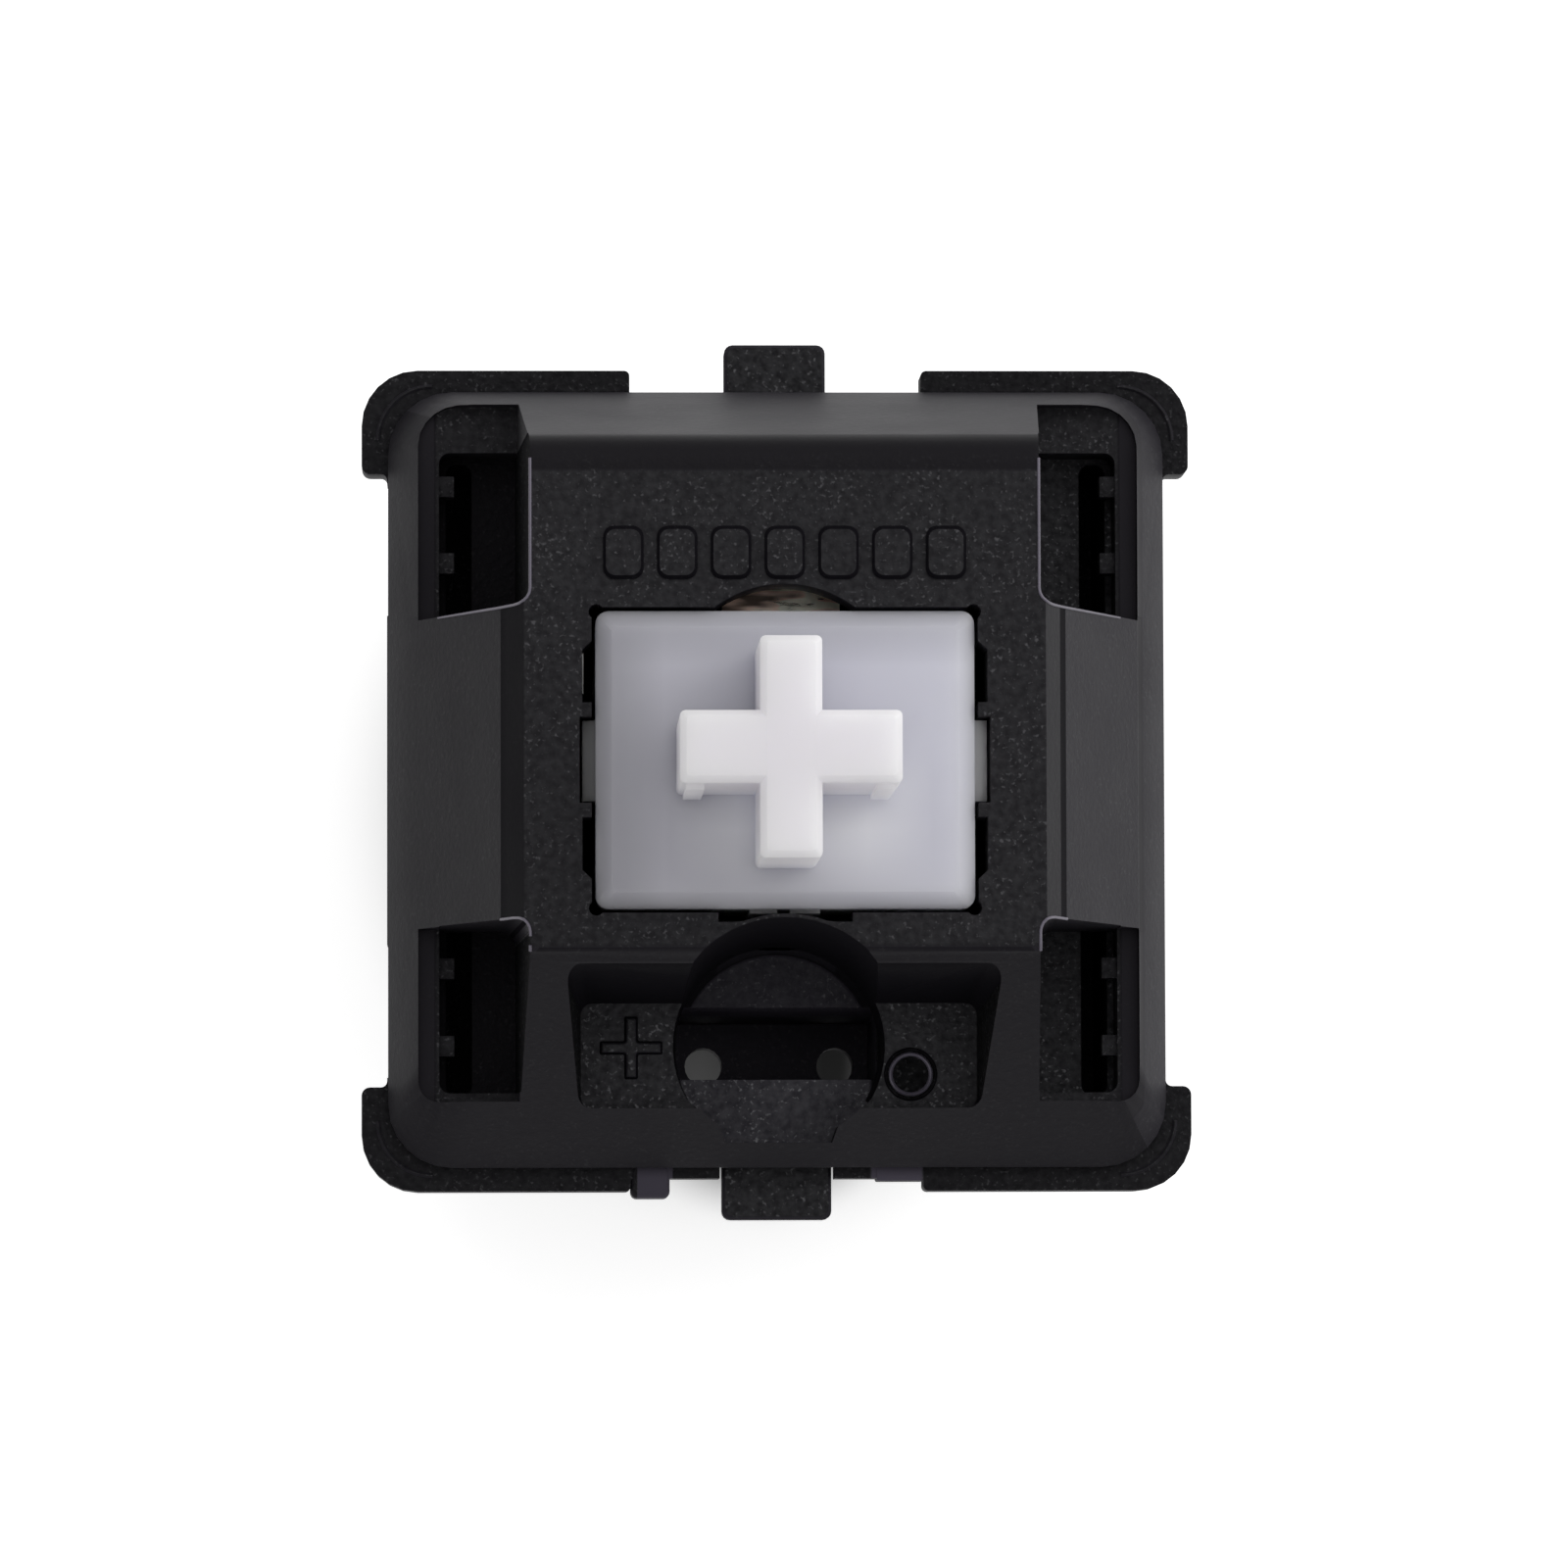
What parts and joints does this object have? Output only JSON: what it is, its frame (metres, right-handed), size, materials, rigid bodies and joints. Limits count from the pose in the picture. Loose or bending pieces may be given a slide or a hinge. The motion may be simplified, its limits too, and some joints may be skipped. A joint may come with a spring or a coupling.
{
  "type": "keyboard switch",
  "caption": "Plate-mount mechanical keyboard switch with cross stem, coil return spring, leaf contact and lamp opening.",
  "frame": {"origin": "on the stem's axis, in the plane of the underside that sits on the circuit board", "axes": "+Z along the stem, away from the board; -Y towards the lamp opening; +X to the right when the lamp opening is nearest the viewer"},
  "size_m": [0.0156, 0.0166, 0.0185],
  "materials": {
    "black_housing": "fine moulded grain with satin slopes",
    "milky_stem": "satin, slightly translucent",
    "tinned_pin": "tinned sheet",
    "bronze_sheet": "rolled spring sheet",
    "gold_point": "polished",
    "spring_wire": "drawn wire"
  },
  "bodies": {
    "housing": {"upper_housing": "black_housing", "lower_housing": "black_housing", "fixed_terminal": "bronze_sheet", "fixed_crosspoint": "gold_point", "moving_terminal": "tinned_pin", "return_spring": "spring_wire"},
    "plunger": {"stem": "milky_stem"},
    "leaf": {"contact_leaf": "bronze_sheet", "moving_crosspoint": "gold_point"}
  },
  "joints": [
    {"name": "stem_travel", "type": "slide", "parent": "housing", "child": "plunger", "axis": [0, 0, 1], "range_m": [-0.004, 0], "stiffness_N_per_m": 75, "springref_m": 0.004, "deforming": ["return_spring"]},
    {"name": "leaf_bend", "type": "hinge", "parent": "housing", "child": "leaf", "pos_m": [0, 0.00484, 0.0017], "axis": [1, 0, 0], "range_deg": [0, 5]}
  ],
  "couplings": [
    {"joint": "leaf_bend", "follows": "stem_travel", "rad_per_m": -21.6}
  ]
}
